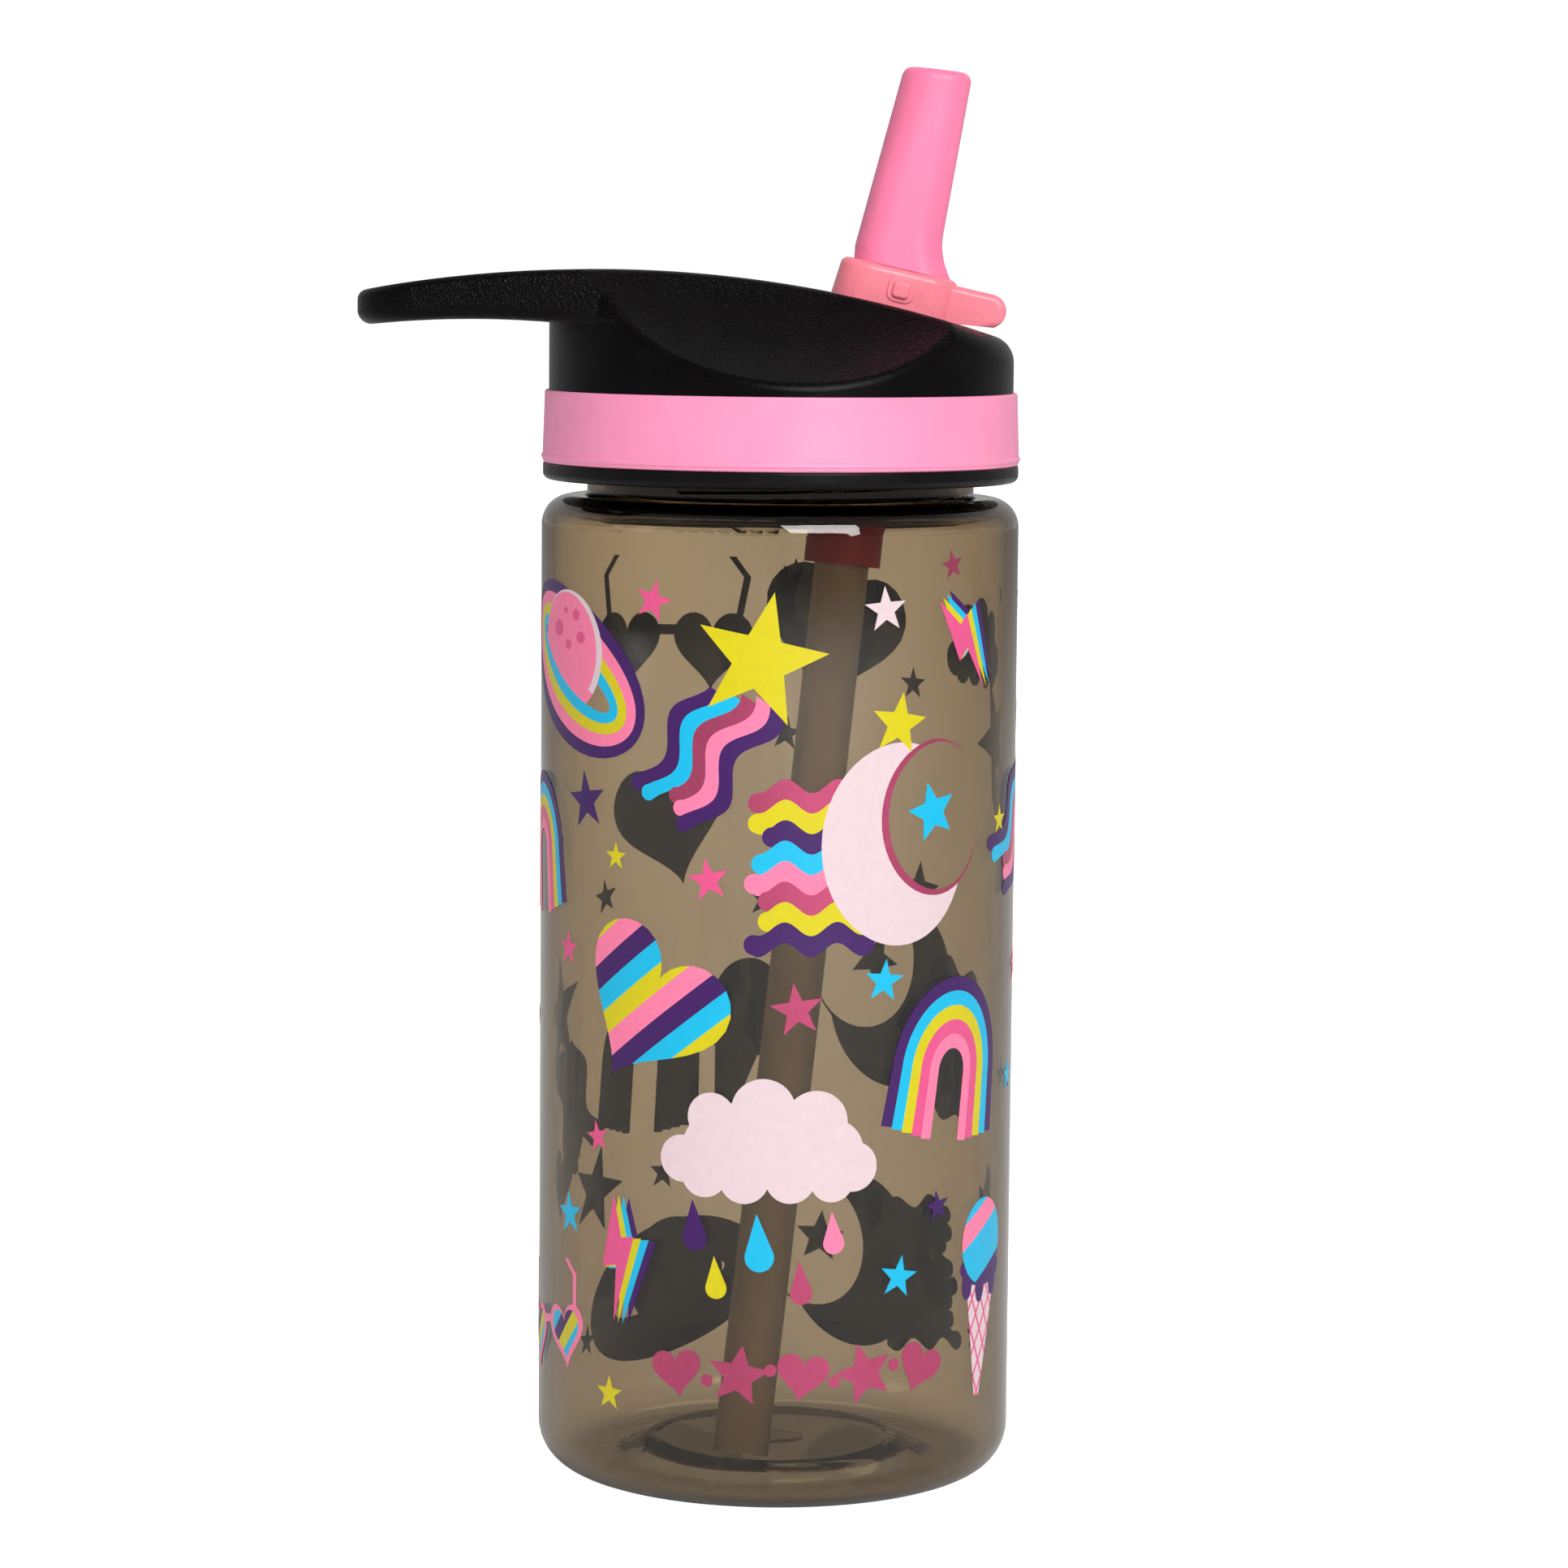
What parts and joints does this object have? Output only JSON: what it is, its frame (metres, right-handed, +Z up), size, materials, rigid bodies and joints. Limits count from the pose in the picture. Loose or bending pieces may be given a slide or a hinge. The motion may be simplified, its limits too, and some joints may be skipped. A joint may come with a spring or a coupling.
{
  "type": "kids water bottle",
  "caption": "Slim see-through children's water bottle with a screw lid, a flip-up drinking spout with a thumb tab, a straw inside and a finger loop.",
  "frame": {"origin": "on the bottle's axis, in the plane that the base stands on", "axes": "+Z up along the bottle's axis, +X towards the spout's thumb tab, -X towards the finger loop; the lid is screwed home and the spout is open"},
  "size_m": [0.0963, 0.0702, 0.2067],
  "materials": {
    "tinted_clear": "gloss, tinted see-through plastic",
    "black_cap": "satin",
    "clear_silicone": "satin",
    "pink_band": "satin",
    "black_cover": "fine leather grain",
    "seal_silicone": "satin",
    "coral_plastic": "satin",
    "pink_mouthpiece": "satin",
    "crimson_sleeve": "satin",
    "clear_straw": "translucent natural plastic",
    "valve_silicone": "satin"
  },
  "bodies": {
    "bottle": {"bottle_body": "tinted_clear"},
    "gasket": {"neck_gasket": "clear_silicone"},
    "lid": {"threaded_cap": "black_cap", "grip_band": "pink_band", "lid_cover": "black_cover", "spout_seal": "seal_silicone", "straw_sleeve": "crimson_sleeve", "straw": "clear_straw", "vent_valve": "valve_silicone"},
    "spout": {"spout_base": "coral_plastic", "mouthpiece": "pink_mouthpiece"}
  },
  "joints": [
    {"name": "lid_lift", "type": "slide", "parent": "bottle", "child": "gasket", "axis": [0, 0, 1], "range_m": [0, 0.0081]},
    {"name": "lid_turn", "type": "hinge", "parent": "gasket", "child": "lid", "pos_m": [0, 0, 0.154], "axis": [0, 0, 1], "range_deg": [0, 720]},
    {"name": "spout_flip", "type": "hinge", "parent": "lid", "child": "spout", "pos_m": [0.014, 0, 0.1662], "axis": [0, -1, 0], "range_deg": [0, 93.5]}
  ],
  "couplings": [
    {"joint": "lid_lift", "follows": "lid_turn", "m_per_rad": 0.00063662}
  ]
}
